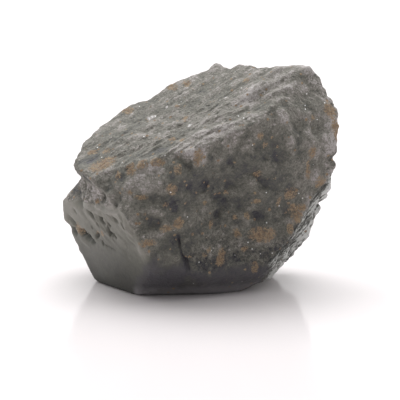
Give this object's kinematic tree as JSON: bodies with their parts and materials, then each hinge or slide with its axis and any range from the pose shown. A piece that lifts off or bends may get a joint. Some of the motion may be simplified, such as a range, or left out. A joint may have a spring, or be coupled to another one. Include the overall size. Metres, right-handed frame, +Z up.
{
  "type": "rough chrome tourmaline crystal",
  "caption": "Rough dark grey-green tourmaline stone with a sloping streaked top, a hollowed front, a smooth cleaved face with etch pits and a flat foot it stands on.",
  "frame": {"origin": "centre of the bounding box in plan, on the foot plane", "axes": "+Z up, +X along the longest side towards the tall end, -Y towards the hollowed front"},
  "size_m": [0.0298, 0.021, 0.0242],
  "materials": {
    "rough_crystal": "rough, sugary broken surface with smooth cleaved faces"
  },
  "bodies": {
    "root": {"rough_crystal": "rough_crystal"}
  },
  "joints": []
}
